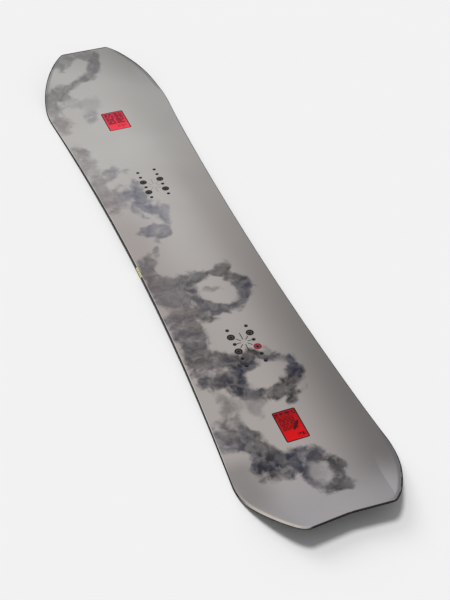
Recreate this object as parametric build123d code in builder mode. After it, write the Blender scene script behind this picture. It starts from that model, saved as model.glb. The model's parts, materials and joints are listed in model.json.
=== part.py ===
"""Directional snowboard without bindings, built up layer by layer.

The board lies base down. X runs along the board towards the nose, Y across it, Z up.
The origin is on the floor, midway between the nose and the tail. All sizes in mm.
"""

from build123d import *
import math
import os

# ---------------------------------------------------------------- driving dimensions

# plan outline along the steel edge, left half: a chain of arcs from the waist to each end
WAIST = (-67.0, 128.2)
NOSE_SIDE = ((560.0, 151.6), (657.0, 141.3), (744.0, 99.4), (781.4, 64.0), (784.7, 54.5))
NOSE_X = 784.7  # flat end of the nose
TAIL_SIDE = ((-625.0, 150.4), (-687.0, 142.6), (-762.2, 104.2), (-780.6, 86.5), (-784.7, 72.2))
TAIL_NOTCH_X = -778.4  # middle of the tail's shallow notch

# side profile of the base, along the middle of the board
CAMBER = 4.7
NOSE_CONTACT = 565.0
TAIL_CONTACT = -642.0
NOSE_KICK = (380.0, 0.30)  # radius, then the slope of the straight end
TAIL_KICK = (180.0, 0.42)

# spoon: the side panels of the nose and the tail rise outside a crease line
NOSE_CREASE = (625.0, 112.4, 0.10, 0.07)  # place along the board, half width, taper, rise outwards
TAIL_CREASE = (660.0, 107.0, 0.19, 0.16)
SPOON_DROP = 6.5  # how far the panels start below the base
SPOON_RADIUS = 130.0
SPOON_LEAD = 60.0  # how far before the contact point the panels' flat start lies

# thicknesses of the layers, from the base up
BASE = 1.2
GLASS = 0.6
RUBBER = 0.3
TOPSHEET = 0.5
CORE_TIP = 1.6
CORE_RISE = 8.7  # height of the core's top in the middle of the board over its top at the tips
CORE_TURN = 135.0  # length of the hollow curve in which that rise starts

# steel edge, and the parts around the core
EDGE_WIDTH = 2.0
TANG_LENGTH = 6.0
TANG_PITCH = 20.0
TANG_GAP = 9.0  # width of each gap between two tangs
GAP_LENGTH = 7.0  # a gap runs out past the ends of the tangs
TOP_INSET = 1.7  # the top sheet stops this far inside the steel edge
SIDEWALL_WIDTH = 12.0
SIDEWALL_NOSE_END = 600.0
SIDEWALL_TAIL_END = -655.0
CORE_NOSE_END = 705.0
CORE_TAIL_END = -722.0
CORE_END_ROUND = 95.0
CORE_STRIPS = 11
STRIP_WIDTH = 23.5

# threaded inserts, in one pack of 2 x 6 at each foot
INSERT_ROWS = 6
INSERT_ROW_STEP = 20.0
INSERT_COLUMN_STEP = 40.0
NOSE_PACK_X = 233.0
TAIL_PACK_X = -327.0
BARREL_RADIUS = 4.75
FLANGE_RADIUS = 8.5
FLANGE = 1.0
INSERT_LIFT = 0.25  # resin under the flange
INSERT_DROP = 0.15  # gap between the insert and the top sheet
INSERT_FLOOR = 1.0  # closed bottom of the thread
THREAD_RADIUS = 2.5
MOUTH_RADIUS = 3.25

# working values
MIDDLE = (NOSE_CONTACT + TAIL_CONTACT) / 2
HALF_CAMBER = NOSE_CONTACT - MIDDLE
CAMBER_TURN = HALF_CAMBER / 2
CORE_FLOOR = BASE + GLASS  # height of the core's underside above the base surface
EDGE_HEIGHT = CORE_FLOOR + RUBBER
STANDING = (Align.CENTER, Align.CENTER, Align.MIN)
HANGING = (Align.CENTER, Align.CENTER, Align.MAX)
FAR = 900.0  # longer than half the board
END = 800.0  # half length of the blanks that the layers are cut from
SIDE = 165.0  # half width of those blanks
BED = -60.0  # depth of those blanks
PRISM_BOTTOM = -5.0
PRISM_HEIGHT = 80.0


# ---------------------------------------------------------------- shape of the layers


def swell(x, rise, turn):
    """Height of the camber curve: hollow over the turn length, then crowned."""
    run = HALF_CAMBER - abs(x - MIDDLE)
    start = rise * turn / HALF_CAMBER
    if run < turn:
        return start * (run / turn) ** 2
    return rise - (rise - start) * ((HALF_CAMBER - run) / (HALF_CAMBER - turn)) ** 2


def side_profile(level, rise, turn):
    """Region under a layer surface, in side view, level with the contact points."""
    hollow = level + rise * turn / HALF_CAMBER
    with BuildSketch(Plane.XZ) as region:
        with BuildLine():
            middle = (MIDDLE, level + rise)
            for way, contact, kick in ((1, NOSE_CONTACT, NOSE_KICK), (-1, TAIL_CONTACT, TAIL_KICK)):
                radius, slope = kick
                turned = math.atan(slope)
                crown = TangentArc(middle, (contact - way * turn, hollow), tangent=(way, 0))
                flat = TangentArc(crown @ 1, (contact, level), tangent=crown % 1)
                bent_x = contact + way * radius * math.sin(turned)
                bent_z = level + radius * (1 - math.cos(turned))
                bend = TangentArc(flat @ 1, (bent_x, bent_z), tangent=(way, 0))
                end_z = bent_z + slope * (END - abs(bent_x))
                Polyline(bend @ 1, (way * END, end_z), (way * END, BED), (MIDDLE, BED))
        make_face()
    return region.sketch


def side_panel(level, way, contact, kick, crease):
    """Space under one raised side panel, on the left of a tip."""
    radius, slope = kick
    place, half_width, taper, rise = crease
    corner_x = abs(contact) + radius * math.tan(math.atan(slope) / 2)
    steep = slope + rise * taper
    start_y = half_width / 2
    lift = level - rise * (half_width - start_y)
    base_z = lift + slope * (place - corner_x)
    low_z = lift - SPOON_DROP
    turn_x = place + (low_z - base_z) / steep
    end_z = base_z + steep * (END - place)
    start_x = way * (abs(contact) - SPOON_LEAD)
    with BuildSketch(Plane.XZ.offset(-start_y)) as region:
        with BuildLine():
            FilletPolyline(
                (start_x, low_z), (way * turn_x, low_z), (way * END, end_z),
                radius=SPOON_RADIUS,
            )
            Polyline((way * END, end_z), (way * END, BED), (start_x, BED), (start_x, low_z))
        make_face()
    with BuildPart() as panel:
        reach = math.hypot(1, rise) * (SIDE - start_y)
        extrude(region.sketch, amount=reach, dir=(0, 1, rise))
    return panel.part


def under(height, on_core=False):
    """Everything under a layer surface, a height above the base or above the core."""
    level = height + CORE_TIP if on_core else height
    rise, turn = (CORE_RISE, CORE_TURN) if on_core else (CAMBER, CAMBER_TURN)
    profile = side_profile(level, rise, turn)
    nose_panel = side_panel(level, 1, NOSE_CONTACT, NOSE_KICK, NOSE_CREASE)
    tail_panel = side_panel(level, -1, TAIL_CONTACT, TAIL_KICK, TAIL_CREASE)
    with BuildPart() as space:
        extrude(profile, amount=SIDE, both=True)
        add(nose_panel)
        add(tail_panel)
        mirror(nose_panel, about=Plane.XZ)
        mirror(tail_panel, about=Plane.XZ)
    return space.part


def outline(inset):
    """Plan of the board, a distance inside the outer face of the steel edge."""
    with BuildSketch() as plan:
        with BuildLine():
            for way, points, end_x in ((1, NOSE_SIDE, NOSE_X), (-1, TAIL_SIDE, TAIL_NOTCH_X)):
                place, heading = Vector(WAIST), Vector(way, 0)
                inside = place + Vector(0, -inset)
                for point in points:
                    outer = TangentArc(place, point, tangent=heading, mode=Mode.PRIVATE)
                    place, turned = outer @ 1, outer % 1
                    moved = place + Vector(turned.Y, -turned.X) * way * inset
                    TangentArc(inside, moved, tangent=heading)
                    heading, inside = turned, moved
                Line(inside, (end_x - way * inset, 0))
            mirror(about=Plane.XZ)
        make_face()
    return plan.sketch


def ring(outer, inner, from_x=-FAR, to_x=FAR):
    """Plan of a band along the left side of the board, between two insets."""
    with BuildSketch() as plan:
        add(outline(outer))
        add(outline(inner), mode=Mode.SUBTRACT)
        with Locations(((from_x + to_x) / 2, FAR / 2)):
            Rectangle(to_x - from_x, FAR, mode=Mode.INTERSECT)
    return plan.sketch


def tang_gaps():
    """Places of the gaps between the left edge's anchor tangs."""
    path = outline(EDGE_WIDTH + GAP_LENGTH / 2).wire()
    count = round(path.length / TANG_PITCH)
    gaps = []
    for i in range(count):
        along = (i + 0.5) / count
        if (path @ along).Y > 0:
            turn = math.degrees(math.atan2((path % along).Y, (path % along).X))
            gaps.append(Location(path @ along, (0, 0, turn)))
    return gaps


def core_plan():
    """Plan of the whole wood core."""
    length = CORE_NOSE_END - CORE_TAIL_END
    with BuildSketch() as plan:
        add(outline(SIDEWALL_WIDTH))
        with Locations(((CORE_NOSE_END + CORE_TAIL_END) / 2, 0)):
            RectangleRounded(length, 2 * SIDE, CORE_END_ROUND, mode=Mode.INTERSECT)
    return plan.sketch


def tip_plan(from_x, to_x):
    """Plan of the plastic spacer between the core and the end of the board."""
    with BuildSketch() as plan:
        add(outline(0))
        with Locations(((from_x + to_x) / 2, 0)):
            Rectangle(to_x - from_x, 2 * FAR, mode=Mode.INTERSECT)
        add(core_plan(), mode=Mode.SUBTRACT)
    return plan.sketch


def insert_places(centre_x):
    """Middle of each threaded insert in a pack."""
    rows = [centre_x + (i - (INSERT_ROWS - 1) / 2) * INSERT_ROW_STEP for i in range(INSERT_ROWS)]
    return [(x, side * INSERT_COLUMN_STEP / 2) for x in rows for side in (-1, 1)]


def insert_foot(x):
    """Height of the underside of an insert's flange."""
    return swell(x, CAMBER, CAMBER_TURN) + CORE_FLOOR + INSERT_LIFT


def insert_head(x):
    """Height of the top of an insert, just under the top sheet."""
    return swell(x, CORE_RISE, CORE_TURN) + CORE_FLOOR + CORE_TIP + GLASS - INSERT_DROP


def insert_seats(centre_x):
    """Holes that a pack of inserts takes out of the core and the upper laminate."""
    with BuildPart() as seats:
        for x, y in insert_places(centre_x):
            foot = insert_foot(x)
            with Locations((x, y, foot + FLANGE)):
                Cylinder(FLANGE_RADIUS, FAR, align=HANGING)
            with Locations((x, y, foot)):
                Cylinder(BARREL_RADIUS, FAR, align=STANDING)
    return seats.part


def top_holes():
    """Mouths of all the inserts in the top sheet."""
    with BuildPart() as holes:
        for x, y in insert_places(NOSE_PACK_X) + insert_places(TAIL_PACK_X):
            with Locations((x, y, 0)):
                Cylinder(MOUTH_RADIUS, FAR, align=STANDING)
    return holes.part


# ---------------------------------------------------------------- base and steel edges

os.makedirs("parts", exist_ok=True)

under_base = under(0)
under_base_top = under(BASE)
under_core = under(CORE_FLOOR)
under_edge_top = under(EDGE_HEIGHT)
under_core_top = under(CORE_FLOOR, on_core=True)
under_laminate_top = under(CORE_FLOOR + GLASS, on_core=True)
under_sheet_top = under(CORE_FLOOR + GLASS + TOPSHEET, on_core=True)

with BuildPart() as base_sheet:
    with BuildSketch(Plane.XY.offset(PRISM_BOTTOM)):
        add(outline(EDGE_WIDTH))
    extrude(amount=PRISM_HEIGHT)
    add(under_base_top, mode=Mode.INTERSECT)
    add(under_base, mode=Mode.SUBTRACT)
base_sheet.part.label = "base_sheet"
export_step(base_sheet.part, "parts/base_sheet.step")

with BuildPart() as edge_bar:
    with BuildSketch(Plane.XY.offset(PRISM_BOTTOM)):
        add(ring(0, EDGE_WIDTH))
    extrude(amount=PRISM_HEIGHT)
    add(under_edge_top, mode=Mode.INTERSECT)
    add(under_base, mode=Mode.SUBTRACT)

with BuildPart() as tangs:
    with BuildSketch(Plane.XY.offset(PRISM_BOTTOM)):
        add(ring(EDGE_WIDTH / 2, EDGE_WIDTH + TANG_LENGTH))
    extrude(amount=PRISM_HEIGHT)
    add(under_core, mode=Mode.INTERSECT)
    add(under_base_top, mode=Mode.SUBTRACT)
    with Locations(*tang_gaps()):
        Box(TANG_GAP, GAP_LENGTH, FAR, mode=Mode.SUBTRACT)

with BuildPart() as steel_edge_left:
    add(edge_bar.part)
    add(tangs.part)
steel_edge_left.part.label = "steel_edge_left"
export_step(steel_edge_left.part, "parts/steel_edge_left.step")

with BuildPart() as steel_edge_right:
    mirror(steel_edge_left.part, about=Plane.XZ)
steel_edge_right.part.label = "steel_edge_right"
export_step(steel_edge_right.part, "parts/steel_edge_right.step")

with BuildPart() as edge_rubber_left:
    with BuildSketch(Plane.XY.offset(PRISM_BOTTOM)):
        add(ring(EDGE_WIDTH, SIDEWALL_WIDTH))
    extrude(amount=PRISM_HEIGHT)
    add(under_edge_top, mode=Mode.INTERSECT)
    add(under_core, mode=Mode.SUBTRACT)
edge_rubber_left.part.label = "edge_rubber_left"
export_step(edge_rubber_left.part, "parts/edge_rubber_left.step")

with BuildPart() as edge_rubber_right:
    mirror(edge_rubber_left.part, about=Plane.XZ)
edge_rubber_right.part.label = "edge_rubber_right"
export_step(edge_rubber_right.part, "parts/edge_rubber_right.step")

# ---------------------------------------------------------------- laminates and top sheet

with BuildPart() as lower_laminate:
    with BuildSketch(Plane.XY.offset(PRISM_BOTTOM)):
        add(outline(EDGE_WIDTH + TANG_LENGTH))
    extrude(amount=PRISM_HEIGHT)
    add(under_core, mode=Mode.INTERSECT)
    add(under_base_top, mode=Mode.SUBTRACT)
lower_laminate.part.label = "lower_laminate"
export_step(lower_laminate.part, "parts/lower_laminate.step")

nose_seats = insert_seats(NOSE_PACK_X)
tail_seats = insert_seats(TAIL_PACK_X)

with BuildPart() as upper_laminate:
    with BuildSketch(Plane.XY.offset(PRISM_BOTTOM)):
        add(outline(TOP_INSET))
    extrude(amount=PRISM_HEIGHT)
    add(under_laminate_top, mode=Mode.INTERSECT)
    add(under_core_top, mode=Mode.SUBTRACT)
    add(nose_seats, mode=Mode.SUBTRACT)
    add(tail_seats, mode=Mode.SUBTRACT)
upper_laminate.part.label = "upper_laminate"
export_step(upper_laminate.part, "parts/upper_laminate.step")

topsheet_holes = top_holes()
with BuildPart() as topsheet:
    with BuildSketch(Plane.XY.offset(PRISM_BOTTOM)):
        add(outline(TOP_INSET))
    extrude(amount=PRISM_HEIGHT)
    add(under_sheet_top, mode=Mode.INTERSECT)
    add(under_laminate_top, mode=Mode.SUBTRACT)
    add(topsheet_holes, mode=Mode.SUBTRACT)
topsheet.part.label = "topsheet"
export_step(topsheet.part, "parts/topsheet.step")

# ---------------------------------------------------------------- core, sidewalls, spacers

for number in range(1, CORE_STRIPS + 1):
    first = number == 1
    last = number == CORE_STRIPS
    right = -FAR if first else (number - 1 - CORE_STRIPS / 2) * STRIP_WIDTH
    left = FAR if last else (number - CORE_STRIPS / 2) * STRIP_WIDTH
    with BuildPart() as strip:
        with BuildSketch(Plane.XY.offset(PRISM_BOTTOM)):
            add(core_plan())
            with Locations((0, (left + right) / 2)):
                Rectangle(2 * FAR, left - right, mode=Mode.INTERSECT)
        extrude(amount=PRISM_HEIGHT)
        add(under_core_top, mode=Mode.INTERSECT)
        add(under_core, mode=Mode.SUBTRACT)
        add(nose_seats, mode=Mode.SUBTRACT)
        add(tail_seats, mode=Mode.SUBTRACT)
    strip.part.label = f"core_strip_{number:02d}"
    export_step(strip.part, f"parts/core_strip_{number:02d}.step")

with BuildPart() as sidewall_left:
    with BuildSketch(Plane.XY.offset(PRISM_BOTTOM)):
        add(ring(0, SIDEWALL_WIDTH, SIDEWALL_TAIL_END, SIDEWALL_NOSE_END))
    extrude(amount=PRISM_HEIGHT)
    add(under_core_top, mode=Mode.INTERSECT)
    add(under_edge_top, mode=Mode.SUBTRACT)
sidewall_left.part.label = "sidewall_left"
export_step(sidewall_left.part, "parts/sidewall_left.step")

with BuildPart() as sidewall_right:
    mirror(sidewall_left.part, about=Plane.XZ)
sidewall_right.part.label = "sidewall_right"
export_step(sidewall_right.part, "parts/sidewall_right.step")

# The spacers lie on the rubber along their rim, which takes a step out of their underside.
with BuildPart() as rim_step:
    with BuildSketch(Plane.XY.offset(PRISM_BOTTOM)):
        add(outline(0))
        add(outline(SIDEWALL_WIDTH), mode=Mode.SUBTRACT)
    extrude(amount=PRISM_HEIGHT)
    add(under_edge_top, mode=Mode.INTERSECT)

for name, near, far in (
    ("nose_spacer", SIDEWALL_NOSE_END, FAR),
    ("tail_spacer", -FAR, SIDEWALL_TAIL_END),
):
    with BuildPart() as spacer:
        with BuildSketch(Plane.XY.offset(PRISM_BOTTOM)):
            add(tip_plan(near, far))
        extrude(amount=PRISM_HEIGHT)
        add(under_core_top, mode=Mode.INTERSECT)
        add(under_core, mode=Mode.SUBTRACT)
        add(rim_step.part, mode=Mode.SUBTRACT)
    spacer.part.label = name
    export_step(spacer.part, f"parts/{name}.step")

# ---------------------------------------------------------------- threaded inserts

for name, centre_x in (("nose_inserts", NOSE_PACK_X), ("tail_inserts", TAIL_PACK_X)):
    with BuildPart() as pack:
        for x, y in insert_places(centre_x):
            foot = insert_foot(x)
            head = insert_head(x)
            bevel = MOUTH_RADIUS - THREAD_RADIUS
            with Locations((x, y, foot)):
                Cylinder(FLANGE_RADIUS, FLANGE, align=STANDING)
                Cylinder(BARREL_RADIUS, head - foot, align=STANDING)
            with Locations((x, y, foot + INSERT_FLOOR)):
                Cylinder(THREAD_RADIUS, FAR, align=STANDING, mode=Mode.SUBTRACT)
            with Locations((x, y, head)):
                Cone(THREAD_RADIUS, MOUTH_RADIUS, bevel, align=HANGING, mode=Mode.SUBTRACT)
    pack.part.label = name
    export_step(pack.part, f"parts/{name}.step")
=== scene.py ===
"""The looks of a directional snowboard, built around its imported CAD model.

The frame is the CAD model's: X along the board towards the nose, Y to the left, Z up.
Blender works in metres; the print and the fine meshes are laid out in millimetres.
"""

import json
import math

import bpy
import numpy as np
from mathutils import Matrix, Vector, geometry, noise as lattice
from mathutils.bvhtree import BVHTree

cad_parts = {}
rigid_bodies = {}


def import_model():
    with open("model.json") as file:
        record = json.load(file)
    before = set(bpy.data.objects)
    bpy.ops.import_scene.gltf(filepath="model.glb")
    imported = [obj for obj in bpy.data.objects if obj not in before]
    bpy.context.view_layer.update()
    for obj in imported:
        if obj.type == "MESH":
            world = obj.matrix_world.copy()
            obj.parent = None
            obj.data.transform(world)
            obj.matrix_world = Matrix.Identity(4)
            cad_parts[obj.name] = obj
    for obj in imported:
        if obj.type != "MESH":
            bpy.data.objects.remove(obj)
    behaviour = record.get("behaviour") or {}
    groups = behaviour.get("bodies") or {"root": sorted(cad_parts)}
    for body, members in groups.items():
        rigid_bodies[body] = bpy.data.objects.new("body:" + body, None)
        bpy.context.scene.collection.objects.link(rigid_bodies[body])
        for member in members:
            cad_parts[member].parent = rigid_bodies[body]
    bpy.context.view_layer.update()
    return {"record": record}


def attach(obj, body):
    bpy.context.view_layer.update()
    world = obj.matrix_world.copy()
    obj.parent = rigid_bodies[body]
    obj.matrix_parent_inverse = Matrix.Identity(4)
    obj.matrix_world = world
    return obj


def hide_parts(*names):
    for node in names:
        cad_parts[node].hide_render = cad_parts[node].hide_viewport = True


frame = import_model()

PER_METRE = 1000.0  # millimetres in a metre

# ---------------------------------------------------------------- inks

# light grey at the nose and violet grey at the tail end a fade that is partly print and partly painted
# light
LIGHT_GREY = (0.475, 0.466, 0.45, 1)
WARM_GREY = (0.385, 0.352, 0.338, 1)
VIOLET_GREY = (0.315, 0.303, 0.318, 1)
ROSY_GREY = (0.32, 0.272, 0.262, 1)
# painted shade over the ground of the top sheet
PAINTED_SHADE_GREY = (0.11, 0.105, 0.102, 1)
# painted highlight on the facet at the right of the tail
FACET_HIGHLIGHT_GREY = (0.43, 0.42, 0.44, 1)
# painted shade on the rolled rims
RIM_PAINTED_SHADE = (0.125, 0.120, 0.130, 1)
# painted highlight on the rim at the left of the tail and on the spacer there
RIM_PAINTED_HIGHLIGHT = (0.54, 0.49, 0.44, 1)
# painted highlight line along the left side
SIDE_LINE_HIGHLIGHT = (0.66, 0.64, 0.60, 1)
SMOKE_BLUE = (0.018, 0.0205, 0.039, 1)
SMOKE_BROWN = (0.027, 0.024, 0.026, 1)
CLOUD_BLUE = (0.115, 0.115, 0.160, 1)
CLOUD_PURPLE = (0.150, 0.115, 0.128, 1)
INK = (0.003, 0.003, 0.003, 1)
# painted glint inside the black insert rings
GLINT_GREY = (0.30, 0.285, 0.25, 1)
RING_RED = (0.22, 0.008, 0.018, 1)
# painted glint inside the red insert ring
GLINT_RED = (0.50, 0.16, 0.19, 1)
MARK_YELLOW = (0.95, 0.86, 0.36, 1)

# ---------------------------------------------------------------- print on the top sheet, mm

# smoke: place, half sizes, turn in degrees, and how dark
PUFFS = (
    # tail
    (-610, 76, 40, 33, 0, 1.0), (-640, 48, 22, 22, 0, 1.0), (-606, 2, 22, 28, 20, 0.95),
    (-603, 40, 20, 28, 0, 1.0), (-625, 25, 22, 24, 0, 0.95), (-575, 55, 22, 14, 30, 0.85),
    (-530, 112, 40, 36, 30, 0.8), (-552, 80, 36, 26, 40, 0.9), (-655, -52, 14, 8, 0, 0.8),
    (-656, -2, 34, 26, 0, 0.35), (-700, -36, 14, 16, 0, 0.7),
    # second loop and the cloud above it
    (-466, -36, 28, 13, -25, 1.0), (-360, 44, 30, 24, -10, 1.0), (-420, 50, 34, 17, 15, 1.0),
    (-352, 0, 13, 16, 0, 0.95), (-425, -64, 36, 16, 0, 1.0), (-450, 0, 11, 34, 0, 0.9),
    (-395, 88, 20, 38, 10, 0.9), (-335, 108, 42, 32, 0, 0.85), (-290, 94, 46, 34, 0, 0.85),
    (-345, 70, 26, 28, 0, 0.8), (-258, 88, 42, 30, 10, 0.8), (-225, 106, 36, 34, 0, 0.75),
    (-192, 84, 30, 24, 0, 0.7), (-455, 88, 38, 20, -10, 0.6), (-476, 52, 28, 20, 0, 0.4),
    (-466, 28, 14, 20, 20, 0.4),
    # big loop near the middle
    (-212, 48, 32, 22, -10, 0.8), (-225, 28, 18, 26, 30, 0.85), (-165, -64, 28, 20, 0, 0.95),
    (-150, -44, 48, 15, 0, 0.8), (-100, -38, 27, 18, -20, 0.85), (-108, 48, 25, 36, 0, 0.75),
    (-122, 98, 44, 40, 0, 0.7), (-150, 86, 28, 28, 0, 0.6), (-70, 114, 50, 22, -10, 0.7),
    (-30, 94, 26, 19, -20, 0.65), (-2, 72, 13, 8, 0, 0.5), (24, 60, 11, 7, 0, 0.4),
    (-152, 8, 8, 22, -10, 0.45),
    # small puff, and the long cloud beside the nose inserts
    (68, 72, 19, 18, 0, 0.8), (62, 32, 22, 22, 0, 0.6), (196, 104, 52, 40, -15, 0.7),
    (196, 46, 54, 26, 0, 0.9), (138, 30, 50, 16, 22, 0.85), (128, 8, 40, 11, 0, 0.55),
    (132, 64, 38, 9, 24, 0.55), (262, 122, 54, 26, 0, 0.6), (296, 74, 27, 36, 10, 0.65),
    (342, 115, 32, 26, 0, 0.5), (405, 128, 46, 25, 0, 0.7),
    # nose
    (536, 134, 46, 34, 0, 0.6), (552, 54, 30, 21, 0, 0.5), (645, 122, 46, 30, -10, 0.62),
    (620, 138, 50, 18, 0, 0.45), (658, 92, 28, 24, -30, 0.6), (688, 46, 38, 13, -52, 0.62),
    (708, 6, 28, 17, -50, 0.65), (728, -14, 34, 18, -5, 0.62), (766, -8, 18, 24, 0, 0.55),
    (772, 30, 16, 28, 0, 0.5), (760, 66, 24, 28, 30, 0.55), (618, 70, 22, 28, 0, 0.25),
    (600, 34, 28, 24, 0, 0.2),
)
# smoke rings: place, half sizes, turn in degrees, width of the band, and how dark
LOOPS = (
    (-660, -8, 42, 34, -10, 0.42, 0.95), (-408, -8, 46, 60, 14, 0.34, 1.0),
    (-158, -6, 58, 56, 6, 0.28, 0.85), (62, 42, 22, 24, 0, 0.5, 0.75),
)
PUFF_FADE = (1.5, 0.25)  # a puff is gone and full at these distances, with 1 on its ellipse
LOOP_FADE = (1.4, 0.1)  # the same for a ring, measured from its line in widths of its band
FIELD_TOP = 1.1  # the smoke field is cut off at this height where puffs lie over each other
SMOKE_PULLS = ((60.0, 15.0), (18.0, 7.0))  # noise that pulls it about: size of its waves, reach
SMOKE_SEED = 5  # fixes that noise, so that every run gives the same print
SMOKE_EDGE = (0.12, 1.12)  # the print starts and is full at these heights of the smoke field
SMOKE_FOOT = (0.02, 0.35)  # below these heights it fades out, whatever the noise adds
SMOKE_BITE = 2.6  # how much of the field the noise adds or eats away
BILLOWS = {"scale": 0.042, "detail": 7.0, "roughness": 0.57, "distortion": 0.5}
CURLS = {"scale": 0.045, "detail": 5.0, "roughness": 0.5, "distortion": 0.9}
CURL_FADE = (0.34, 0.68, 1.0, 0.72)
INK_PATCHES = {"scale": 0.012, "detail": 3.0}  # where the smoke's ink is brown and where blue
PATCH_FADE = (0.4, 0.6)

# A ramp is the name of a value, the places where it starts and ends, and, where they aren't
# 0 and 1, its two levels. The shades are laid on in turn, each as strong as its ramps multiplied.
CLOUD_STRETCH = (("x", 10.0, 80.0), ("x", 620.0, 540.0))  # the pale clouds
CLOUD_SHADES = ((CLOUD_BLUE, ("y", 105.0, 60.0)),)
GROUND_NOISE = {"scale": 0.006, "detail": 2.0}
TIP_SKEW = 0.45  # the painted shade at the tip of the nose lies this much askew
GROUND_SHADES = (
    # the fade from light at the nose to violet at the tail: partly print, partly painted light
    (LIGHT_GREY, ("x", -420.0, 420.0)),
    (VIOLET_GREY, ("x", -560.0, -760.0)),
    (WARM_GREY, ("cloudy", 0.35, 0.75, 0.0, 0.3)),
    # a blush on the left of the middle, and a fainter one on its right
    (ROSY_GREY, ("y", 20.0, 110.0), ("x", 260.0, 60.0), ("x", -420.0, -120.0, 0.0, 0.55)),
    (ROSY_GREY, ("y", -30.0, -90.0), ("x", -420.0, -150.0, 0.0, 0.3), ("x", 480.0, 200.0)),
    # painted shade on the right side, on the left shoulder of the tail, and at the tip of the nose
    (PAINTED_SHADE_GREY, ("y", 15.0, -140.0), ("x", 300.0, -560.0, 0.30, 0.84), ("x", -770.0, -660.0, 0.45, 1.0)),
    (PAINTED_SHADE_GREY, ("y", 60.0, 125.0), ("x", -560.0, -610.0), ("x", -740.0, -660.0, 0.15, 0.48)),
    (PAINTED_SHADE_GREY, ("skewed", 670.0, 810.0, 0.0, 0.38)),
)
TAIL_CREASE = (660.0, 107.0, 0.19)  # place along the board, half width there, taper
# painted light and shade on the tips and along the left side, laid over the print in turn
RIM_LIGHT_AND_SHADE = (
    # painted highlight on the facet outside the crease, on the right of the tail
    (FACET_HIGHLIGHT_GREY, ("beyond", -1.0, 2.0), ("beyond", 34.0, 2.0, 0.25, 1.0), ("x", -640.0, -740.0, 0.0, 0.34)),
    # painted shade on the rolled rims on the right and at the left of the nose, and a painted highlight on
    # the rim at the left of the tail
    (RIM_PAINTED_SHADE, ("rim", 0.05, 0.55), ("y", -60.0, -95.0), ("x", 0.0, -600.0, 0.45, 0.8)),
    (RIM_PAINTED_SHADE, ("rim", 0.05, 0.55), ("y", 50.0, 80.0), ("x", 0.0, 600.0, 0.0, 0.5)),
    (RIM_PAINTED_HIGHLIGHT, ("rim", 0.3, 0.75), ("y", 60.0, 105.0), ("x", -610.0, -720.0, 0.0, 0.85)),
    # painted highlight: the pale line along the left side
    (SIDE_LINE_HIGHLIGHT, ("seam", 0.35, 0.8), ("y", 40.0, 90.0), ("from_middle", 640.0, 560.0, 0.0, 0.6)),
)

# insert packs: their grid, the ends of each, half a row past its last holes, and their print
ROW_STEP = 20.0
COLUMN = 20.0  # half the distance between the two columns
NOSE_PACK = (173.0, 293.0)
TAIL_PACK = (-387.0, -267.0)
MOUTH_RADIUS = 3.9
MOUTH_FADE = (1.08, 0.92)  # the painted shade round a hole is gone and full at these shares of its radius
NOSE_STAR = (223.0, 0.35)  # middle of the star and of the four rings, and strength of the star
TAIL_STAR = (-317.0, 0.95)
STAR_INNER = 7.0
STAR_OUTER = 18.0
STAR_LONG = 26.0  # reach of the two lines that run along the board
STAR_LEVEL = 2.0  # those two lie within this distance of the centre line
STAR_LINE = (1.15, 0.6)  # half width of a line, where it is gone and where it is full
RING_RADIUS = 8.1
RING_FADE = (1.04, 0.96)  # as shares of the ring's radius, like the two sides of the painted glint
# the painted glint inside each insert ring, as shares of the ring's radius, and how strong it is
GLINT_INNER = (0.38, 0.5)
GLINT_OUTER = (0.66, 0.54)
GLINT_SHARE = 0.3

# printed labels: middle along the board, half length, half width, reds at the tail and nose side
LABEL_ROUND = 3.5
LABEL_BORDER = 2.3
LABEL_BLUR = 0.2
TAIL_LABEL = (-539.5, 36.5, 23.0)
TAIL_REDS = ((0.66, 0.0, 0.003, 1), (0.38, 0.0, 0.004, 1))
NOSE_LABEL = (515.0, 40.5, 27.5)
NOSE_REDS = ((0.90, 0.045, 0.075, 1), (0.56, 0.03, 0.065, 1))
# what is printed on them, from the label's middle; blocks have a pitch, a height and how many are left
TAIL_INK = (0.012, 0.0, 0.002, 1)
TAIL_INK_SHARE = 0.9
TITLE_ALONG = (24.0, 33.0)
TITLE_BLOCKS = (5.5, 0.75, 0.75)
SMALL_ALONG = (-10.0, 21.5)
SMALL_ACROSS = (-12.0, 18.0)
SMALL_BLOCKS = (3.4, 0.62, 0.85)
BAR_ALONG = (-30.0, -21.0)
BAR_ACROSS = (-19.0, -4.0)
BAR_BLOCKS = (5.4, 0.72, 0.9)
DROP = (-3.0, -9.0, 13.0, 3.4, -38.0)  # place, half sizes and turn
DROP_FADE = (1.05, 0.9)
NOSE_INK = (0.10, 0.0, 0.006, 1)
NOSE_INK_SHARE = 0.88
FIELD_ALONG = (-14.0, 34.0)
FIELD_ACROSS = (1.5, 21.0)  # on both sides of the middle
FIELD_BLOCKS = (6.0, 0.72, 0.74)
LINES_ALONG = (-32.0, -20.0)
LINES_ACROSS = (-19.0, 4.0)
LINES_BLOCKS = (3.4, 0.5, 0.55)

# ---------------------------------------------------------------- node helpers


def make_material(name):
    """Empty node material: the material, its tree and its shader."""
    material = bpy.data.materials.new(name)
    material.use_nodes = True
    tree = material.node_tree
    return material, tree, tree.nodes["Principled BSDF"]


def put(tree, socket, value):
    """Give a socket a link or a plain value."""
    if isinstance(value, bpy.types.NodeSocket):
        tree.links.new(value, socket)
    else:
        socket.default_value = value


def calc(tree, operation, *values):
    """One step of arithmetic."""
    node = tree.nodes.new("ShaderNodeMath")
    node.operation = operation
    for socket, value in zip(node.inputs, values):
        put(tree, socket, value)
    return node.outputs[0]


def hypotenuse(tree, x, y):
    """Length of a line that runs x one way and y the other."""
    squares = calc(tree, "ADD", calc(tree, "POWER", x, 2.0), calc(tree, "POWER", y, 2.0))
    return calc(tree, "SQRT", squares)


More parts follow.
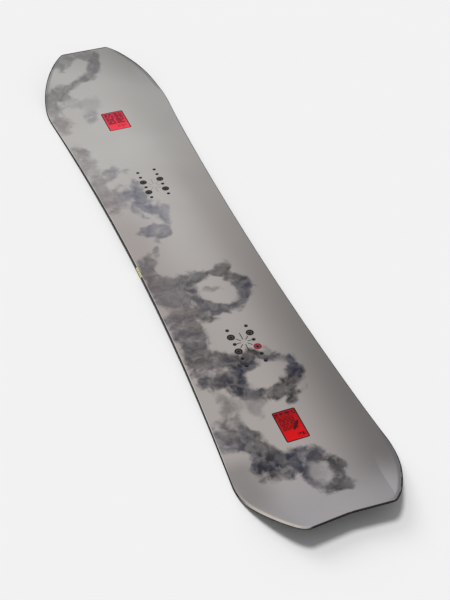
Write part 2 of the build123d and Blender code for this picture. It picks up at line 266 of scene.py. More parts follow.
def fade(tree, value, start, end, low=0.0, high=1.0):
    """Value that goes smoothly from low to high as another goes from start to end."""
    node = tree.nodes.new("ShaderNodeMapRange")
    node.interpolation_type = "SMOOTHSTEP"
    for socket, number in zip(node.inputs, (value, start, end, low, high)):
        put(tree, socket, number)
    return node.outputs[0]


def within(tree, value, low, high):
    """1 between two values."""
    above = calc(tree, "GREATER_THAN", value, low)
    return calc(tree, "MULTIPLY", above, calc(tree, "LESS_THAN", value, high))


def millimetres(tree):
    """The frame's own coordinates, in millimetres."""
    source = tree.nodes.new("ShaderNodeTexCoord")
    scale = tree.nodes.new("ShaderNodeVectorMath")
    scale.operation = "SCALE"
    scale.inputs["Scale"].default_value = PER_METRE
    tree.links.new(source.outputs["Object"], scale.inputs[0])
    return scale.outputs[0]


def split(tree, vector):
    """X, Y and Z of a vector."""
    node = tree.nodes.new("ShaderNodeSeparateXYZ")
    tree.links.new(vector, node.inputs[0])
    return node.outputs


def join(tree, x, y, z=0.0):
    """Vector of three numbers."""
    node = tree.nodes.new("ShaderNodeCombineXYZ")
    for socket, value in zip(node.inputs, (x, y, z)):
        put(tree, socket, value)
    return node.outputs[0]


def stretched(tree, vector, factors):
    """Vector with each coordinate multiplied."""
    node = tree.nodes.new("ShaderNodeVectorMath")
    node.operation = "MULTIPLY"
    node.inputs[1].default_value = factors
    tree.links.new(vector, node.inputs[0])
    return node.outputs[0]


def noise(tree, vector, scale, detail=3.0, roughness=0.5, distortion=0.0):
    """Fractal noise between 0 and 1."""
    node = tree.nodes.new("ShaderNodeTexNoise")
    node.inputs["Scale"].default_value = scale
    node.inputs["Detail"].default_value = detail
    node.inputs["Roughness"].default_value = roughness
    node.inputs["Distortion"].default_value = distortion
    tree.links.new(vector, node.inputs["Vector"])
    return node.outputs["Fac"]


def mix(tree, factor, first, second):
    """Blend of two colours."""
    node = tree.nodes.new("ShaderNodeMix")
    node.data_type = "RGBA"
    put(tree, node.inputs["Factor"], factor)
    put(tree, node.inputs[6], first)
    put(tree, node.inputs[7], second)
    return node.outputs[2]


def ramped(tree, values, ramps):
    """Product of ramps, each on one of the named values."""
    (name, *limits), *others = ramps
    share = fade(tree, values[name], *limits)
    for name, *limits in others:
        share = calc(tree, "MULTIPLY", share, fade(tree, values[name], *limits))
    return share


def shaded(tree, colour, values, shades):
    """Colour with other inks laid over it in turn."""
    for ink, *ramps in shades:
        colour = mix(tree, ramped(tree, values, ramps), colour, ink)
    return colour


def bump(tree, shader, height, depth):
    """Relief from a height between 0 and 1, this many millimetres deep."""
    node = tree.nodes.new("ShaderNodeBump")
    node.inputs["Distance"].default_value = depth / PER_METRE
    tree.links.new(height, node.inputs["Height"])
    tree.links.new(node.outputs[0], shader.inputs["Normal"])


def ellipse_distance(tree, vector, x, y, half_x, half_y, turn):
    """Distance from a place, 1 on an ellipse around it."""
    local = tree.nodes.new("ShaderNodeMapping")
    local.vector_type = "TEXTURE"
    local.inputs["Location"].default_value = (x, y, 0)
    local.inputs["Rotation"].default_value = (0, 0, math.radians(turn))
    local.inputs["Scale"].default_value = (half_x, half_y, 1)
    tree.links.new(vector, local.inputs["Vector"])
    length = tree.nodes.new("ShaderNodeVectorMath")
    length.operation = "LENGTH"
    tree.links.new(local.outputs[0], length.inputs[0])
    return length.outputs["Value"]


def vertex_value(tree, name):
    """Number that the mesh holds for each point."""
    node = tree.nodes.new("ShaderNodeAttribute")
    node.attribute_name = name
    return node.outputs["Fac"]


# ---------------------------------------------------------------- fine meshes of the top layers, mm

TOPSHEET_THICK = 0.5
LAMINATE_THICK = 0.6
GRID = 4.5  # distance between the points of the finished mesh
RIM_RINGS = (1.0, 2.5, 4.5, 7.0, 9.5, 13.0)  # rows of points that follow the outline
RING_CLEAR = 0.8  # points of those rows stay this far from the outline
RIM_WIDTH = 9.0
SEAM_WIDTH = 2.5  # width of the painted highlight line along the outline
RIM_START = (590.0, 640.0)  # the rolled rim fades in between these distances from the middle
RIM_DROP = 0.8  # how far the rim of a tip is rolled down at the outline
SEAM_DROP = 0.55  # the same, between the top sheet and the laminate under it
UPWARD = 0.5  # a face whose normal rises more than this belongs to the upper skin
OVERHEAD_Z = 200.0  # well above the board
MIDDLE_Z = 20.0  # about half as high as the tips
MERGE = 1e-4  # points closer than this become one
TINY = 1e-6  # keeps a division by nothing away


def top_faces(mesh):
    """Corner points of every upward face of a CAD mesh."""
    upward = [face for face in mesh.polygons if face.normal.z > UPWARD]
    return [[mesh.vertices[i].co * PER_METRE for i in face.vertices] for face in upward]


def rounded(point):
    """Plan position of a point, the same for all faces that share it."""
    return round(point.x, 2), round(point.y, 2)


def border_loops(faces):
    """Closed loops of points along the free edges of a set of faces, the one with most points first."""
    directed = set()
    for face in faces:
        for start, end in zip(face, face[1:] + face[:1]):
            directed.add((rounded(start), rounded(end)))
    following = {a: b for a, b in directed if (b, a) not in directed}
    loops = []
    while following:
        start, point = following.popitem()
        loop = [start]
        while point != start:
            loop.append(point)
            point = following.pop(point)
        loops.append(loop)
    return sorted(loops, key=len, reverse=True)


def spaced(loop, step):
    """Loop with long straight stretches divided, so that no step is longer than given."""
    points = []
    for start, end in zip(loop, loop[1:] + loop[:1]):
        count = max(1, math.ceil(math.dist(start, end) / step))
        for i in range(count):
            t = i / count
            points.append((start[0] + (end[0] - start[0]) * t, start[1] + (end[1] - start[1]) * t))
    return points


def ring_inside(loop, inset):
    """Points a distance inside an anticlockwise loop."""
    points = np.array(loop)
    along = np.roll(points, -1, axis=0) - np.roll(points, 1, axis=0)
    along /= np.linalg.norm(along, axis=1)[:, None]
    return points + np.stack((-along[:, 1], along[:, 0]), axis=1) * inset


def border_distance(points, loop):
    """Distance of each point from the nearest stretch of a loop."""
    start = np.array(loop)
    run = np.roll(start, -1, axis=0) - start
    nearest = np.full(len(points), np.inf)
    for origin, reach in zip(start, run):
        off = points - origin
        t = np.clip(off @ reach / (reach @ reach), 0, 1)
        nearest = np.minimum(nearest, np.linalg.norm(off - t[:, None] * reach, axis=1))
    return nearest


def centre_distance(points, centres):
    """Distance of each point from the nearest of some centres."""
    return np.linalg.norm(points[:, None, :] - centres[None, :, :], axis=2).min(axis=1)


def smooth_step(value, start, end):
    """0 before the start, 1 past the end, smooth between them."""
    t = np.clip((value - start) / (end - start), 0, 1)
    return t * t * (3 - 2 * t)


def inner_points(outer, centres, reach):
    """Rows of points along the outline and an even grid inside them, clear of the holes."""
    rings = np.concatenate([ring_inside(outer, inset) for inset in RIM_RINGS])
    low, high = np.array(outer).min(axis=0), np.array(outer).max(axis=0)
    across = np.meshgrid(np.arange(low[0], high[0], GRID), np.arange(low[1], high[1], GRID))
    grid = np.stack([axis.ravel() for axis in across], axis=1)
    grid_margin = np.full(len(grid), RIM_RINGS[-1] + GRID / 2)
    margin = np.concatenate((grid_margin, np.full(len(rings), RING_CLEAR)))
    inner = np.concatenate((grid, rings))
    inner = inner[border_distance(inner, outer) > margin]
    return inner[centre_distance(inner, centres) > reach + GRID / 3]


def plan_triangles(faces):
    """Even triangles over the plan of a sheet, open at its round holes.

    Returns the points, the triangles and the outline.
    """
    outer, *holes = border_loops(faces)
    outer = spaced(outer, GRID)
    centres = np.array([np.mean(hole, axis=0) for hole in holes])
    reach = max(math.dist(centres[0], point) for point in holes[0])
    points, edges = [], []
    for loop in (outer, *holes):
        first = len(points)
        points.extend(Vector(point) for point in loop)
        edges.extend((first + i, first + (i + 1) % len(loop)) for i in range(len(loop)))
    points.extend(Vector(point) for point in inner_points(outer, centres, reach))
    verts, _, tris, *_ = geometry.delaunay_2d_cdt(points, edges, [], 1, MERGE)
    plan = np.array([tuple(v) for v in verts])
    tris = np.array(tris)
    in_hole = centre_distance(plan[tris].mean(axis=1), centres) < reach
    return plan, tris[~in_hole], outer


def surface_heights(faces, plan):
    """Height of a set of faces over each point of a plan."""
    flat = [tuple(point) for face in faces for point in face]
    tree = BVHTree.FromPolygons(flat, [(3 * i, 3 * i + 1, 3 * i + 2) for i in range(len(faces))])
    heights = []
    for x, y in plan:
        hit = tree.ray_cast((x, y, OVERHEAD_Z), (0, 0, -1))[0] or tree.find_nearest((x, y, MIDDLE_Z))[0]
        heights.append(hit.z)
    return np.array(heights)


def closed_shell(name, upper, lower, tris):
    """Mesh of two skins and the walls between them, smooth but for its corners."""
    sides = set()
    for a, b, c in tris.tolist():
        sides.update(((a, b), (b, c), (c, a)))
    count = len(upper)
    walls = [(b, a, a + count, b + count) for a, b in sides if (b, a) not in sides]
    shell = tris.tolist() + (tris[:, ::-1] + count).tolist() + walls
    mesh = bpy.data.meshes.new(name)
    mesh.from_pydata(np.concatenate((upper, lower)).tolist(), [], shell)
    mesh.shade_smooth()
    corner = {tuple(sorted(pair)) for wall in walls for pair in (wall[:2], wall[2:])}
    sharp = [tuple(sorted(side.vertices)) in corner for side in mesh.edges]
    mesh.attributes.new("sharp_edge", "BOOLEAN", "EDGE").data.foreach_set("value", sharp)
    return mesh


def make_sheet(node, name, thick, upper_drop, lower_drop, material):
    """Finely meshed sheet over a CAD one, with its rim rolled down at the tips.

    Returns the mesh, the plan of its upper points, how far each of them is rolled down, and how
    close it lies to the outline.
    """
    faces = top_faces(bpy.data.objects[node].data)
    plan, tris, outline = plan_triangles(faces)
    height = surface_heights(faces, plan)
    edge = border_distance(plan, outline)
    roll = smooth_step(np.abs(plan[:, 0]), *RIM_START) * np.clip(1 - edge / RIM_WIDTH, 0, 1)
    upper = np.column_stack((plan, height - upper_drop * roll)) / PER_METRE
    lower = np.column_stack((plan, height - thick - lower_drop * roll)) / PER_METRE
    mesh = closed_shell(name, upper, lower, tris)
    mesh.materials.append(material)
    piece = bpy.data.objects.new(name, mesh)
    bpy.context.scene.collection.objects.link(piece)
    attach(piece, "root")
    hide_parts(node)
    return mesh, plan, roll, np.clip(1 - edge / SEAM_WIDTH, 0, 1)


def smoke_field(points):
    """Height of the smoke field and darkness of the smoke at each point, on a pulled plane."""
    lattice.seed_set(SMOKE_SEED)
    pulled = points.copy()
    for wave, reach in SMOKE_PULLS:
        shifts = [lattice.noise_vector((x / wave, y / wave, wave)) for x, y in points]
        pulled += np.array(shifts)[:, :2] * reach
    field = np.zeros(len(points))
    squares = np.zeros(len(points))
    weight = np.zeros(len(points))
    shapes = [(*puff[:5], None, puff[5]) for puff in PUFFS] + list(LOOPS)
    for x, y, half_x, half_y, turn, band, dark in shapes:
        angle = math.radians(turn)
        off_x, off_y = pulled[:, 0] - x, pulled[:, 1] - y
        local_x = (off_x * math.cos(angle) + off_y * math.sin(angle)) / half_x
        local_y = (off_y * math.cos(angle) - off_x * math.sin(angle)) / half_y
        away = np.hypot(local_x, local_y)
        if band is None:
            share = smooth_step(away, *PUFF_FADE)
        else:
            share = smooth_step(np.abs(away - 1), *(band * limit for limit in LOOP_FADE))
        field += share
        squares += share * share
        weight += dark * share * share
    return np.minimum(field, FIELD_TOP), weight / np.maximum(squares, TINY)


def add_vertex_values(mesh, name, values):
    """Store one number per vertex."""
    layer = mesh.attributes.new(name, "FLOAT", "POINT")
    layer.data.foreach_set("value", np.asarray(values, dtype=np.float32))


def make_top_layers(finishes):
    """Top sheet, with what its print needs at each point, and the laminate under it."""
    printed, plan, roll, seam = make_sheet(
        "topsheet", "printed_topsheet", TOPSHEET_THICK, RIM_DROP, SEAM_DROP,
        finishes["topsheet"],
    )
    field, darkness = smoke_field(plan)
    layers = {"smoke": field, "smoke_depth": darkness, "rim": roll, "seam": seam}
    for name, values in layers.items():
        add_vertex_values(printed, name, np.concatenate((values, values)))
    make_sheet(
        "upper_laminate", "rolled_laminate", LAMINATE_THICK, SEAM_DROP, 0.0,
        finishes["glass_laminate"],
    )


# ---------------------------------------------------------------- print of the top sheet


def ground(tree, place, values):
    """Grey ground of the top sheet: light at the nose, warm in the middle, violet at the tail, a fade that
    is partly print and partly painted light, with painted shade on the right side, the left shoulder of the
    tail and the tip of the nose.
    """
    return shaded(tree, WARM_GREY, {**values, "cloudy": noise(tree, place, **GROUND_NOISE)}, GROUND_SHADES)


def smoke(tree, place):
    """How dark the smoke is: the mesh's own smoke field, eaten away by noise."""
    field = vertex_value(tree, "smoke")
    flat = stretched(tree, place, (1, 1, 0))
    billows = noise(tree, flat, **BILLOWS)
    curls = noise(tree, flat, **CURLS)
    eaten = calc(tree, "MULTIPLY_ADD", calc(tree, "SUBTRACT", billows, 0.5), SMOKE_BITE, field)
    shape = calc(tree, "MULTIPLY", fade(tree, eaten, *SMOKE_EDGE), fade(tree, field, *SMOKE_FOOT))
    body = calc(tree, "MULTIPLY", shape, fade(tree, curls, *CURL_FADE))
    return calc(tree, "MULTIPLY", body, vertex_value(tree, "smoke_depth"))


def smoke_ink(tree, place, values):
    """Ink of the smoke: near black in the dark loops, blue and purple in the pale clouds."""
    patches = fade(tree, noise(tree, place, **INK_PATCHES), *PATCH_FADE)
    dark = mix(tree, patches, SMOKE_BROWN, SMOKE_BLUE)
    pale = shaded(tree, CLOUD_PURPLE, values, CLOUD_SHADES)
    return mix(tree, ramped(tree, values, CLOUD_STRETCH), dark, pale)


def beyond_crease(tree, x, y):
    """Distance outside the crease on the right of the tail."""
    place, half, taper = TAIL_CREASE
    crease = calc(tree, "MULTIPLY_ADD", calc(tree, "ADD", x, place), taper, half)
    return calc(tree, "SUBTRACT", calc(tree, "MULTIPLY", y, -1.0), crease)


def painted_rim_light(tree, colour, values):
    """Painted highlight on the facet outside the crease of the tail, painted shade and highlights on the
    rolled rims of both tips, and a painted highlight line along the side.
    """
    values = {
        **values,
        "beyond": beyond_crease(tree, values["x"], values["y"]),
        "rim": vertex_value(tree, "rim"),
        "seam": vertex_value(tree, "seam"),
        "from_middle": calc(tree, "ABSOLUTE", values["x"]),
    }
    return shaded(tree, colour, values, RIM_LIGHT_AND_SHADE)


def star(tree, x, y, middle, strength):
    """Eight thin lines that point at the middle of an insert pack, two of them longer."""
    x = calc(tree, "SUBTRACT", x, middle)
    far = hypotenuse(tree, x, y)
    eighth = math.radians(45)
    angle = calc(tree, "ARCTAN2", y, x)
    nearest = calc(tree, "SNAP", calc(tree, "ADD", angle, eighth / 2), eighth)
    off = calc(tree, "SUBTRACT", angle, nearest)
    aside = calc(tree, "ABSOLUTE", calc(tree, "MULTIPLY", far, calc(tree, "SINE", off)))
    level = calc(tree, "LESS_THAN", calc(tree, "ABSOLUTE", y), STAR_LEVEL)
    end = calc(tree, "MULTIPLY_ADD", level, STAR_LONG - STAR_OUTER, STAR_OUTER)
    line = calc(tree, "MULTIPLY", fade(tree, aside, *STAR_LINE), within(tree, far, STAR_INNER, end))
    return calc(tree, "MULTIPLY", line, strength)


def hole_shadows(tree, x, y, first, last):
    """Dark painted shade round the small holes of one pack."""
    along = calc(tree, "SUBTRACT", x, first)
    row_start = calc(tree, "SNAP", along, ROW_STEP)
    in_row = calc(tree, "SUBTRACT", calc(tree, "SUBTRACT", along, row_start), ROW_STEP / 2)
    aside = calc(tree, "SUBTRACT", calc(tree, "ABSOLUTE", y), COLUMN)
    away = ellipse_distance(tree, join(tree, in_row, aside), 0, 0, MOUTH_RADIUS, MOUTH_RADIUS, 0)
    return calc(tree, "MULTIPLY", fade(tree, away, *MOUTH_FADE), within(tree, x, first, last))


def insert_ring(tree, colour, x, y, centre, ink, glint):
    """Printed ring round one insert, with a painted glint inside it."""
    away = ellipse_distance(tree, join(tree, x, y), *centre, RING_RADIUS, RING_RADIUS, 0)
    colour = mix(tree, fade(tree, away, *RING_FADE), colour, ink)
    bright = calc(tree, "MULTIPLY", fade(tree, away, *GLINT_INNER), fade(tree, away, *GLINT_OUTER))
    return mix(tree, calc(tree, "MULTIPLY", bright, GLINT_SHARE), colour, glint)


def insert_rings(tree, colour, x, y):
    """Rings round the four reference inserts of each pack: black, and red for one at the tail."""
    for middle, _ in (NOSE_STAR, TAIL_STAR):
        for side in (-1, 1):
            for end in (-1, 1):
                red = middle == TAIL_STAR[0] and side == end == -1
                inks = (RING_RED, GLINT_RED) if red else (INK, GLINT_GREY)
                centre = (middle + end * ROW_STEP, side * COLUMN)
                colour = insert_ring(tree, colour, x, y, centre, *inks)
    return colour


def rounded_box(tree, x, y, half_x, half_y, corner):
    """Distance outside a rectangle with rounded corners, negative inside."""
    out_x = calc(tree, "SUBTRACT", calc(tree, "ABSOLUTE", x), half_x - corner)
    out_y = calc(tree, "SUBTRACT", calc(tree, "ABSOLUTE", y), half_y - corner)
    past = hypotenuse(tree, calc(tree, "MAXIMUM", out_x, 0.0), calc(tree, "MAXIMUM", out_y, 0.0))
    inside = calc(tree, "MINIMUM", calc(tree, "MAXIMUM", out_x, out_y), 0.0)
    return calc(tree, "SUBTRACT", calc(tree, "ADD", past, inside), corner)


def blocks(tree, x, y, pitch, thick, share):
    """Rows of small blocks of uneven length, as a stand-in for print."""
    row = calc(tree, "FLOOR", calc(tree, "DIVIDE", x, pitch))
    in_row = calc(tree, "FRACT", calc(tree, "DIVIDE", x, pitch))
    column = calc(tree, "FLOOR", calc(tree, "DIVIDE", y, pitch * 0.6))
    random = tree.nodes.new("ShaderNodeTexWhiteNoise")
    random.noise_dimensions = "2D"
    tree.links.new(join(tree, row, column), random.inputs["Vector"])
    on = calc(tree, "LESS_THAN", random.outputs["Value"], share)
    return calc(tree, "MULTIPLY", on, calc(tree, "LESS_THAN", in_row, thick))


def label(tree, colour, x, y, half_sizes, reds, marks, ink):
    """Red label with marks on it and a black border, over a colour. X and Y are from its middle."""
    half_x, half_y = half_sizes
    edge = rounded_box(tree, x, y, half_x, half_y, LABEL_ROUND)
    red = mix(tree, fade(tree, x, -half_x, half_x), *reds)
    red = mix(tree, marks, red, ink)
    border = fade(tree, edge, -LABEL_BORDER - LABEL_BLUR, -LABEL_BORDER + LABEL_BLUR)
    red = mix(tree, border, red, INK)
    return mix(tree, fade(tree, edge, LABEL_BLUR, -LABEL_BLUR), colour, red)


def tail_label(tree, colour, x, y):
    """Red label at the tail: a title row, lines of small blocks, a slanted drop and a bar."""
    middle, *half_sizes = TAIL_LABEL
    x = calc(tree, "SUBTRACT", x, middle)
    title = calc(tree, "MULTIPLY", blocks(tree, x, y, *TITLE_BLOCKS), within(tree, x, *TITLE_ALONG))
    small = calc(tree, "MULTIPLY", blocks(tree, x, y, *SMALL_BLOCKS), within(tree, x, *SMALL_ALONG))
    small = calc(tree, "MULTIPLY", small, within(tree, y, *SMALL_ACROSS))
    drop = ellipse_distance(tree, join(tree, x, y), *DROP)
    bar = calc(tree, "MULTIPLY", within(tree, x, *BAR_ALONG), within(tree, y, *BAR_ACROSS))
    bar = calc(tree, "MULTIPLY", bar, blocks(tree, y, x, *BAR_BLOCKS))
    marks = calc(tree, "MAXIMUM", calc(tree, "MAXIMUM", title, small), bar)
    marks = calc(tree, "MAXIMUM", marks, fade(tree, drop, *DROP_FADE))
    marks = calc(tree, "MULTIPLY", marks, TAIL_INK_SHARE)
    return label(tree, colour, x, y, half_sizes, TAIL_REDS, marks, TAIL_INK)


def nose_label(tree, colour, x, y):
    """Paler red label at the nose: two fields of blocks over a few short lines."""
    middle, *half_sizes = NOSE_LABEL
    x = calc(tree, "SUBTRACT", x, middle)
    fields = within(tree, calc(tree, "ABSOLUTE", y), *FIELD_ACROSS)
    fields = calc(tree, "MULTIPLY", within(tree, x, *FIELD_ALONG), fields)
    fields = calc(tree, "MULTIPLY", fields, blocks(tree, x, y, *FIELD_BLOCKS))
    lines = calc(tree, "MULTIPLY", within(tree, x, *LINES_ALONG), within(tree, y, *LINES_ACROSS))
    lines = calc(tree, "MULTIPLY", lines, blocks(tree, x, y, *LINES_BLOCKS))
    marks = calc(tree, "MULTIPLY", calc(tree, "MAXIMUM", fields, lines), NOSE_INK_SHARE)
    return label(tree, colour, x, y, half_sizes, NOSE_REDS, marks, NOSE_INK)


def topsheet_material():
    """Satin top sheet with its fade, which is partly print and partly painted light, painted shade and
    highlights, smoke, labels and insert marks.
    """
    material, tree, shader = make_material("topsheet_print")
    place = millimetres(tree)
    x, y, _ = split(tree, place)
    skewed = calc(tree, "SUBTRACT", x, calc(tree, "MULTIPLY", y, TIP_SKEW))
    values = {"x": x, "y": y, "skewed": skewed}
    colour = ground(tree, place, values)
    colour = mix(tree, smoke(tree, place), colour, smoke_ink(tree, place, values))
    # painted light and shade on the tips and along the left side
    colour = painted_rim_light(tree, colour, values)
    stars = calc(tree, "MAXIMUM", star(tree, x, y, *TAIL_STAR), star(tree, x, y, *NOSE_STAR))
    colour = mix(tree, stars, colour, INK)
    # painted shade round the small holes of both packs
    for pack in (NOSE_PACK, TAIL_PACK):
        colour = mix(tree, hole_shadows(tree, x, y, *pack), colour, INK)
    colour = insert_rings(tree, colour, x, y)
    colour = tail_label(tree, colour, x, y)
    colour = nose_label(tree, colour, x, y)
    tree.links.new(colour, shader.inputs["Base Color"])
    grain = noise(tree, place, 1.1, detail=4.0, roughness=0.6)
    tree.links.new(fade(tree, grain, 0.3, 0.7, 0.26, 0.36), shader.inputs["Roughness"])
    shader.inputs["Specular IOR Level"].default_value = 0.22
    shader.inputs["Coat Weight"].default_value = 0.04
    shader.inputs["Coat Roughness"].default_value = 0.15
    bump(tree, shader, grain, depth=0.03)
    return material


# ---------------------------------------------------------------- other materials

# dark and light colour, factors that stretch the streaks, and the lowest and highest roughness
# the edge steel is near black and the insert steel dark, far darker than bare steel: partly painted shade,
# for edges and bores that lie in shade
EDGE_STEEL = ((0.018, 0.018, 0.018, 1), (0.06, 0.058, 0.056, 1), (0.03, 1.5, 1.5), (0.3, 0.5))
INSERT_STEEL = ((0.12, 0.12, 0.12, 1), (0.32, 0.32, 0.32, 1), (1.8, 1.8, 0.1), (0.2, 0.38))
SIDEWALL = ((0.006, 0.006, 0.006, 1), (0.018, 0.017, 0.018, 1), (0.02, 1.2, 1.2), (0.38, 0.55))
SPACER = ((0.006, 0.006, 0.006, 1), (0.020, 0.019, 0.020, 1), (0.6, 0.6, 0.6), (0.45, 0.6))
# dark and light colour, and how strongly the pores show
POPLAR = ((0.50, 0.38, 0.22, 1), (0.74, 0.62, 0.42, 1), 0.4)
BEECH = ((0.40, 0.23, 0.13, 1), (0.60, 0.40, 0.25, 1), 0.7)
# dark and light colour
GLASS = ((0.05, 0.047, 0.036, 1), (0.15, 0.14, 0.11, 1))
RUBBER = ((0.008, 0.008, 0.008, 1), (0.035, 0.034, 0.033, 1))
BASE = ((0.012, 0.012, 0.014, 1), (0.042, 0.042, 0.046, 1))
STAIN = (0.20, 0.17, 0.15, 1)

MARK_ALONG = (-67.0, -34.0)  # the sidewall's printed mark, near the waist
MARK_STEP = 6.6  # pitch of its bars
MARK_BAR = 0.68  # share of the pitch that a bar takes
SPACER_HIGHLIGHT_RAMPS = (("x", -640.0, -710.0), ("y", 70.0, 95.0))  # painted highlight on the side of the tail's spacer, at the left
STRIP_WIDTH = 23.5  # strips of the core
STRIP_SHIFT = 311.0  # how far along its grain each strip is cut from the one before
TOW = 2.0  # width of one yarn of the glass cloth


def streaked_metal(name, dark, light, along, roughness):
    """Ground or turned steel: fine streaks along one direction, with small stains."""
    material, tree, shader = make_material(name)
    place = millimetres(tree)
    streaks = noise(tree, stretched(tree, place, along), 1.0, detail=5.0, roughness=0.65)
    stains = noise(tree, place, 0.05, detail=5.0)
    colour = mix(tree, streaks, dark, light)
    colour = mix(tree, fade(tree, stains, 0.55, 0.8, 0.0, 0.35), colour, STAIN)
    tree.links.new(colour, shader.inputs["Base Color"])
    shader.inputs["Metallic"].default_value = 1.0
    shader.inputs["Specular Tint"].default_value = light
    tree.links.new(fade(tree, streaks, 0.3, 0.7, *roughness), shader.inputs["Roughness"])
    bump(tree, shader, streaks, depth=0.02)
    return material


def plastic(name, dark, light, along, roughness, depth):
    """Cut plastic: streaks of the cutter over a fine pitted grain."""
    material, tree, shader = make_material(name)
    place = millimetres(tree)
    streaks = noise(tree, stretched(tree, place, along), 1.0, detail=4.0, roughness=0.6)
    pits = noise(tree, place, 2.5, detail=3.0, roughness=0.7)
    both = calc(tree, "MULTIPLY_ADD", pits, 0.4, calc(tree, "MULTIPLY", streaks, 0.6))
    tree.links.new(mix(tree, fade(tree, both, 0.35, 0.65), dark, light), shader.inputs["Base Color"])
    tree.links.new(fade(tree, both, 0.3, 0.7, *roughness), shader.inputs["Roughness"])
    shader.inputs["Specular IOR Level"].default_value = 0.15
    bump(tree, shader, both, depth)
    return material


def overprint(material, tree, share, ink):
    """Lay an ink over a finished material's colour."""
    socket = tree.nodes["Principled BSDF"].inputs["Base Color"]
    tree.links.new(mix(tree, share, socket.links[0].from_socket, ink), socket)
    return material


def sidewall_material():
    """Black cut plastic, with one short printed mark on the left side near the waist."""
    material = plastic("sidewall_plastic", *SIDEWALL, depth=0.03)
    tree = material.node_tree
    x, y, _ = split(tree, millimetres(tree))
    mark = calc(tree, "MULTIPLY", within(tree, x, *MARK_ALONG), calc(tree, "GREATER_THAN", y, 0.0))
    bar = calc(tree, "LESS_THAN", calc(tree, "FRACT", calc(tree, "DIVIDE", x, MARK_STEP)), MARK_BAR)
    return overprint(material, tree, calc(tree, "MULTIPLY", mark, bar), MARK_YELLOW)


def spacer_material():
    """Black tip plastic, with a painted highlight where its side is bevelled at the left of the tail."""
    material = plastic("spacer_plastic", *SPACER, depth=0.04)
    tree = material.node_tree
    x, y, _ = split(tree, millimetres(tree))
    return overprint(material, tree, ramped(tree, {"x": x, "y": y}, SPACER_HIGHLIGHT_RAMPS), RIM_PAINTED_HIGHLIGHT)


def wood(name, dark, light, pore_share):
    """Sanded wood with its grain along the board, each strip cut from another place."""
    material, tree, shader = make_material(name)
    place = millimetres(tree)
    x, y, z = split(tree, place)
    strip = calc(tree, "FLOOR", calc(tree, "ADD", calc(tree, "DIVIDE", y, STRIP_WIDTH), 0.5))
    moved = join(tree, calc(tree, "MULTIPLY_ADD", strip, STRIP_SHIFT, x), y, z)
    grain = noise(tree, stretched(tree, moved, (0.006, 0.35, 0.35)), 1.0, detail=6.0, distortion=0.5)
    pores = noise(tree, stretched(tree, moved, (0.12, 2.2, 2.2)), 1.0, detail=2.0)
    colour = mix(tree, fade(tree, grain, 0.3, 0.7), dark, light)
    colour = mix(tree, fade(tree, pores, 0.6, 0.75, 0.0, pore_share), colour, dark)
    tree.links.new(colour, shader.inputs["Base Color"])
    tree.links.new(fade(tree, pores, 0.2, 0.8, 0.5, 0.7), shader.inputs["Roughness"])
    bump(tree, shader, pores, depth=0.05)
    return material


def glass_laminate():
    """Glass cloth in clear resin: a plain weave seen through a gloss skin."""
    material, tree, shader = make_material("glass_laminate")
    place = millimetres(tree)
    x, y, _ = split(tree, place)
    warp = calc(tree, "SINE", calc(tree, "MULTIPLY", x, math.pi / TOW))
    weft = calc(tree, "SINE", calc(tree, "MULTIPLY", y, math.pi / TOW))
    weave = fade(tree, calc(tree, "MULTIPLY", warp, weft), -1.0, 1.0)
    fibres = noise(tree, stretched(tree, place, (0.3, 6.0, 6.0)), 1.0, detail=3.0)
    both = calc(tree, "MULTIPLY_ADD", fibres, 0.35, calc(tree, "MULTIPLY", weave, 0.65))
    tree.links.new(mix(tree, both, *GLASS), shader.inputs["Base Color"])
    tree.links.new(fade(tree, fibres, 0.3, 0.7, 0.25, 0.4), shader.inputs["Roughness"])
    bump(tree, shader, both, depth=0.05)
    return material


def rubber():
    """Dark damping foil."""
    material, tree, shader = make_material("damping_rubber")
    grain = noise(tree, millimetres(tree), 0.9, detail=5.0, roughness=0.65)
    tree.links.new(mix(tree, grain, *RUBBER), shader.inputs["Base Color"])
    tree.links.new(fade(tree, grain, 0.3, 0.7, 0.65, 0.85), shader.inputs["Roughness"])
    bump(tree, shader, grain, depth=0.05)
    return material


def base_material():
    """Sintered black base: speckled, with the fine lines of a stone grind along the board."""
    material, tree, shader = make_material("sintered_base")
    place = millimetres(tree)
    lines = noise(tree, stretched(tree, place, (0.008, 1.4, 0.0)), 1.0, detail=4.0, roughness=0.7)
    speckle = noise(tree, place, 0.8, detail=4.0, roughness=0.75)
    both = calc(tree, "MULTIPLY_ADD", speckle, 0.45, calc(tree, "MULTIPLY", lines, 0.55))
    tree.links.new(mix(tree, fade(tree, both, 0.38, 0.62), *BASE), shader.inputs["Base Color"])
    tree.links.new(fade(tree, both, 0.3, 0.7, 0.3, 0.5), shader.inputs["Roughness"])
    bump(tree, shader, lines, depth=0.03)
    return material


def dress_nodes():
    """Give every CAD node the material of its slot, and return the materials by slot."""
    finishes = {
        "base": base_material(),
        "edge_steel": streaked_metal("edge_steel", *EDGE_STEEL),
        "damping_rubber": rubber(),
        "glass_laminate": glass_laminate(),
        "core_poplar": wood("core_poplar", *POPLAR),
        "core_beech": wood("core_beech", *BEECH),
        "sidewall": sidewall_material(),
        "tip_spacer": spacer_material(),
        "topsheet": topsheet_material(),
        "insert_steel": streaked_metal("insert_steel", *INSERT_STEEL),
    }
    for entry in frame["record"]["subparts"]:
        mesh = bpy.data.objects[entry["node"]].data
        mesh.materials.clear()
        mesh.materials.append(finishes[entry["material_slot"]])
    return finishes


make_top_layers(dress_nodes())

# ---------------------------------------------------------------- camera, light and floor

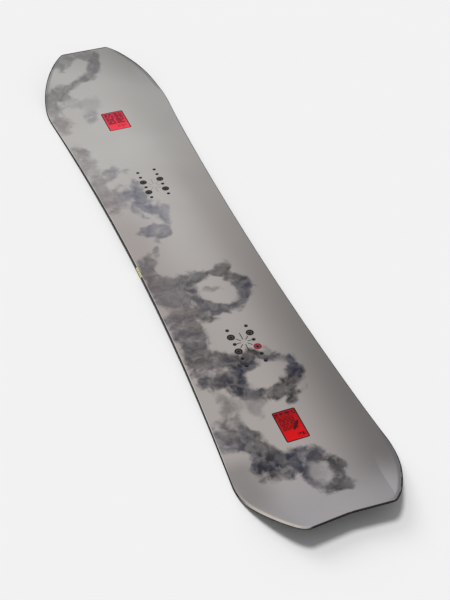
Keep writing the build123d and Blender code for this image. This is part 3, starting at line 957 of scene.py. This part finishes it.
CAMERA_PLACE = (-1.7122, 0.6156, 1.5291)
CAMERA_TURN = (-22.34, 42.73, 1.11)  # heading, downward tilt and roll, degrees
CAMERA_LENS = 66.17  # mm
CAMERA_SENSOR = 36.0  # mm, the long side
CAMERA_REACH = (0.01, 60.0)  # nearest and farthest distance that it sees
FLOOR_HALF = 14.0
FLOOR_WHITE = (0.90, 0.90, 0.90, 1)
OVERHEAD = (35.0, 79.0, 15.0, 1.6)  # heading, height and spread in degrees, then power
SIDE_BOX = (22.0, 45.0, 34.0, 0.7)
WORLD_WHITE = (1, 1, 1, 1)
WORLD_POWER = 0.33


def make_camera():
    """Camera at the photograph's viewing angle."""
    heading, tilt, roll = (math.radians(angle) for angle in CAMERA_TURN)
    level = math.cos(tilt)
    ahead = Vector((math.cos(heading) * level, math.sin(heading) * level, -math.sin(tilt)))
    right = Vector((math.sin(heading), -math.cos(heading), 0.0))
    up = right.cross(ahead)
    turned_right = right * math.cos(roll) + up * math.sin(roll)
    turned_up = up * math.cos(roll) - right * math.sin(roll)
    data = bpy.data.cameras.new("camera")
    data.sensor_fit = "AUTO"
    data.sensor_width = CAMERA_SENSOR
    data.lens = CAMERA_LENS
    data.clip_start, data.clip_end = CAMERA_REACH
    camera = bpy.data.objects.new("camera", data)
    axes = Matrix((turned_right, turned_up, -ahead)).transposed().to_4x4()
    camera.matrix_world = Matrix.Translation(CAMERA_PLACE) @ axes
    bpy.context.scene.collection.objects.link(camera)
    bpy.context.scene.camera = camera


def make_floor():
    """Plain pale floor that runs out of sight."""
    mesh = bpy.data.meshes.new("floor")
    corners = [(x * FLOOR_HALF, y * FLOOR_HALF, 0) for x, y in ((-1, -1), (1, -1), (1, 1), (-1, 1))]
    mesh.from_pydata(corners, [], [(0, 1, 2, 3)])
    floor = bpy.data.objects.new("floor", mesh)
    bpy.context.scene.collection.objects.link(floor)
    material, _, shader = make_material("floor_paint")
    shader.inputs["Base Color"].default_value = FLOOR_WHITE
    shader.inputs["Roughness"].default_value = 1.0
    shader.inputs["Specular IOR Level"].default_value = 0.0
    floor.data.materials.append(material)


def make_softbox(name, heading, height, spread, power):
    """Large far softbox, given by its compass heading and height in degrees."""
    data = bpy.data.lights.new(name, "SUN")
    data.energy = power
    data.angle = math.radians(spread)
    light = bpy.data.objects.new(name, data)
    heading, height = math.radians(heading), math.radians(height)
    level = math.cos(height)
    towards = Vector((level * math.cos(heading), level * math.sin(heading), math.sin(height)))
    light.rotation_euler = towards.to_track_quat("Z", "Y").to_euler()
    bpy.context.scene.collection.objects.link(light)


def make_world():
    """Even surroundings."""
    world = bpy.data.worlds.new("studio")
    world.use_nodes = True
    background = world.node_tree.nodes["Background"]
    background.inputs["Color"].default_value = WORLD_WHITE
    background.inputs["Strength"].default_value = WORLD_POWER
    bpy.context.scene.world = world
    bpy.context.scene.view_settings.view_transform = "Standard"


make_camera()
make_floor()
make_softbox("softbox_overhead", *OVERHEAD)
make_softbox("softbox_side", *SIDE_BOX)
make_world()
